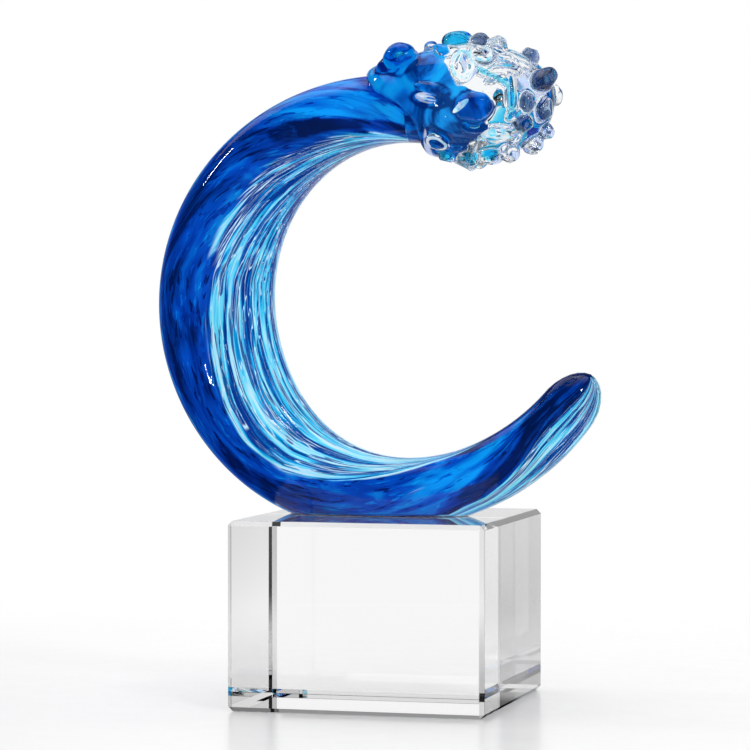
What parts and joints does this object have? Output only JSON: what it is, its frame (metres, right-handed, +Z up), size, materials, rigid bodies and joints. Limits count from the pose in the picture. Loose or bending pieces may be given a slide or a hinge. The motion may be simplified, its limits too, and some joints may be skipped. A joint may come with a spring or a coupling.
{
  "type": "art glass award",
  "caption": "Curling blue glass wave with a crest of glass foam drops, bonded to a bevelled clear crystal block; a free-standing presentation award for a desk or shelf.",
  "frame": {"origin": "centre of the crystal block's underside", "axes": "+Z up, +X to the right seen from the front, -Y out of the block's front face"},
  "size_m": [0.2027, 0.1142, 0.2962],
  "materials": {
    "crystal": "clear polished optical crystal",
    "bond": "clear cured adhesive",
    "casing_glass": "fire-polished clear glass with a faint aqua tint",
    "blue_glass": "deep blue transparent glass",
    "crest_glass": "fire-polished blue glass that fades to clear",
    "foam_glass": "fire-polished clear glass"
  },
  "bodies": {
    "root": {"base_block": "crystal", "blue_foam_drop_01": "crest_glass", "blue_foam_drop_02": "crest_glass", "blue_foam_drop_03": "crest_glass", "blue_foam_drop_04": "crest_glass", "blue_foam_drop_05": "crest_glass", "blue_foam_drop_06": "crest_glass", "blue_foam_drop_07": "crest_glass", "blue_foam_drop_08": "crest_glass", "blue_foam_drop_09": "crest_glass", "blue_foam_drop_10": "crest_glass", "blue_foam_drop_11": "crest_glass", "blue_foam_drop_12": "crest_glass", "blue_foam_drop_13": "crest_glass", "bond_film": "bond", "clear_foam_drop_01": "foam_glass", "clear_foam_drop_02": "foam_glass", "clear_foam_drop_03": "foam_glass", "clear_foam_drop_04": "foam_glass", "clear_foam_drop_05": "foam_glass", "clear_foam_drop_06": "foam_glass", "clear_foam_drop_07": "foam_glass", "clear_foam_drop_08": "foam_glass", "clear_foam_drop_09": "foam_glass", "clear_foam_drop_10": "foam_glass", "clear_foam_drop_11": "foam_glass", "clear_foam_drop_12": "foam_glass", "clear_foam_drop_13": "foam_glass", "clear_foam_drop_14": "foam_glass", "clear_foam_drop_15": "foam_glass", "clear_foam_drop_16": "foam_glass", "clear_foam_drop_17": "foam_glass", "clear_foam_drop_18": "foam_glass", "clear_foam_drop_19": "foam_glass", "clear_foam_drop_20": "foam_glass", "clear_foam_drop_21": "foam_glass", "clear_foam_drop_22": "foam_glass", "clear_foam_drop_23": "foam_glass", "clear_foam_drop_24": "foam_glass", "clear_foam_drop_25": "foam_glass", "clear_foam_drop_26": "foam_glass", "clear_foam_drop_27": "foam_glass", "clear_foam_drop_28": "foam_glass", "clear_foam_drop_29": "foam_glass", "clear_foam_drop_30": "foam_glass", "clear_foam_drop_31": "foam_glass", "clear_foam_drop_32": "foam_glass", "clear_foam_drop_33": "foam_glass", "clear_foam_drop_34": "foam_glass", "clear_foam_drop_35": "foam_glass", "clear_foam_drop_36": "foam_glass", "crest_blue_skin": "crest_glass", "crest_gather": "casing_glass", "wave_blue_core": "blue_glass", "wave_casing": "casing_glass"}
  },
  "joints": []
}
